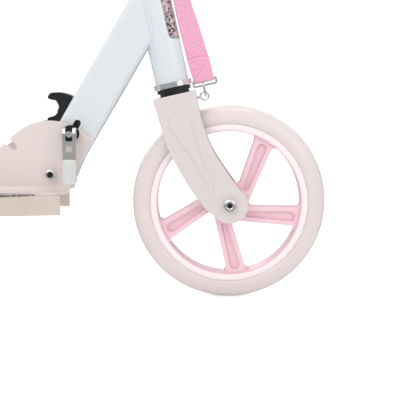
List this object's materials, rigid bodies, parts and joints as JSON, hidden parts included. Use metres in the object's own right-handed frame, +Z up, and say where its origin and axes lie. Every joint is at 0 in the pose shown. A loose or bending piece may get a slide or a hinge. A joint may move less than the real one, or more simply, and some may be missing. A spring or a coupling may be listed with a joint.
{
  "type": "kick scooter",
  "caption": "Folding two-wheel kick scooter for a child: swirl-spoked wheels, low pressed deck, cam-latched folding neck, height-adjustable T-bar, sprung fender brake, kickstand and carry strap.",
  "frame": {"origin": "on the ground, midway between the two wheel axles, in the scooter's middle plane", "axes": "+X forward, +Y to the rider's left, +Z up"},
  "size_m": [0.85, 0.388, 0.9201],
  "materials": {
    "frame_paint": "glossy bluish-white powder coat",
    "fork_paint": "glossy warm white powder coat",
    "bracket_paint": "satin blush white powder coat",
    "deck_paint": "glossy blush white powder coat",
    "tyre_pu": "translucent blush-white polyurethane, gloss",
    "hub_pink": "gloss pink, moulded",
    "steel": "satin",
    "zinc": "zinc plated",
    "chrome": "polished",
    "lever_metal": "satin cast",
    "clear_plastic": "milky translucent",
    "black_plastic": "fine grain",
    "grip_rubber": "ribbed, soft",
    "tape": "mineral grit with bright specks",
    "webbing": "woven polyester",
    "pad_rubber": "matte"
  },
  "bodies": {
    "deck": {"deck_channel": "deck_paint", "grip_tape": "tape", "fold_bracket": "bracket_paint", "pivot_bolt": "chrome", "frame_nuts": "zinc", "rear_stays": "deck_paint", "rear_axle": "zinc", "rear_spacers": "zinc", "fender_bracket": "steel", "fender_pin": "zinc", "fender_spring": "steel", "kickstand_bracket": "steel", "kickstand_bolt": "zinc"},
    "neck": {"neck_tube": "frame_paint", "head_tube": "frame_paint", "headset_cups": "chrome", "headset_bearings": "steel", "pivot_bushes": "black_plastic", "spring_pin": "zinc", "latch_spring": "steel"},
    "latch": {"release_hook": "black_plastic", "latch_slider": "black_plastic", "hook_screw": "zinc", "skewer": "chrome", "skewer_nut": "zinc", "cam_washers": "black_plastic", "lever_pin": "steel"},
    "fold_lever": {"fold_lever": "lever_metal", "lever_sleeve": "clear_plastic"},
    "steering": {"fork": "fork_paint", "column_tube": "frame_paint", "crown_seal": "black_plastic", "headset_locknut": "chrome", "front_axle": "chrome", "front_axle_nut": "zinc", "front_spacers": "zinc", "clamp_collar": "lever_metal", "clamp_bolt": "zinc", "clamp_nut": "zinc", "clamp_pin": "zinc", "stem_shim": "black_plastic", "strap_webbing": "webbing", "strap_rings": "chrome", "strap_clasps": "chrome", "strap_eyes": "chrome"},
    "front_wheel": {"front_tyre": "tyre_pu", "front_hub": "hub_pink", "front_bearings": "steel"},
    "rear_wheel": {"rear_tyre": "tyre_pu", "rear_hub": "hub_pink", "rear_bearings": "steel"},
    "t_bar": {"stem_tube": "frame_paint", "crossbar": "frame_paint", "grips": "grip_rubber", "bar_plugs": "black_plastic"},
    "clamp_lever": {"clamp_lever": "lever_metal"},
    "fender": {"fender": "black_plastic", "brake_pad": "pad_rubber"},
    "kickstand": {"kickstand_leg": "steel", "kickstand_foot": "pad_rubber"}
  },
  "joints": [
    {"name": "neck_fold", "type": "hinge", "parent": "deck", "child": "neck", "pos_m": [0.1432, 0, 0.1307], "axis": [0, -1, 0], "range_deg": [0, 80]},
    {"name": "latch_slide", "type": "slide", "parent": "neck", "child": "latch", "axis": [0.5105, 0, 0.8599], "range_m": [0, 0.012], "stiffness_N_per_m": 400, "springref_m": -0.01, "deforming": ["latch_spring"]},
    {"name": "lever_swing", "type": "hinge", "parent": "latch", "child": "fold_lever", "pos_m": [0.16431, -0.031, 0.17213], "axis": [-1, 0, 0], "range_deg": [0, 165]},
    {"name": "steering_turn", "type": "hinge", "parent": "neck", "child": "steering", "pos_m": [0.2665, 0, 0.2235], "axis": [-0.2164, 0, 0.9763], "range_deg": [-70, 70]},
    {"name": "front_wheel_spin", "type": "hinge", "parent": "steering", "child": "front_wheel", "pos_m": [0.325, 0, 0.1], "axis": [0, 1, 0], "continuous": true},
    {"name": "rear_wheel_spin", "type": "hinge", "parent": "deck", "child": "rear_wheel", "pos_m": [-0.325, 0, 0.1], "axis": [0, 1, 0], "continuous": true},
    {"name": "bar_slide", "type": "slide", "parent": "steering", "child": "t_bar", "axis": [-0.2164, 0, 0.9763], "range_m": [-0.08, 0.06]},
    {"name": "clamp_lever_swing", "type": "hinge", "parent": "steering", "child": "clamp_lever", "pos_m": [0.16017, -0.016, 0.59223], "axis": [0.2164, 0, -0.9763], "range_deg": [0, 140]},
    {"name": "fender_press", "type": "hinge", "parent": "deck", "child": "fender", "pos_m": [-0.204, 0, 0.131], "axis": [0, -1, 0], "range_deg": [0, 2], "stiffness_Nm_per_rad": 2, "springref_deg": -17.19},
    {"name": "kickstand_fold", "type": "hinge", "parent": "deck", "child": "kickstand", "pos_m": [-0.03, 0.04, 0.078], "axis": [0, 0.788, 0.6157], "range_deg": [0, 88]}
  ]
}
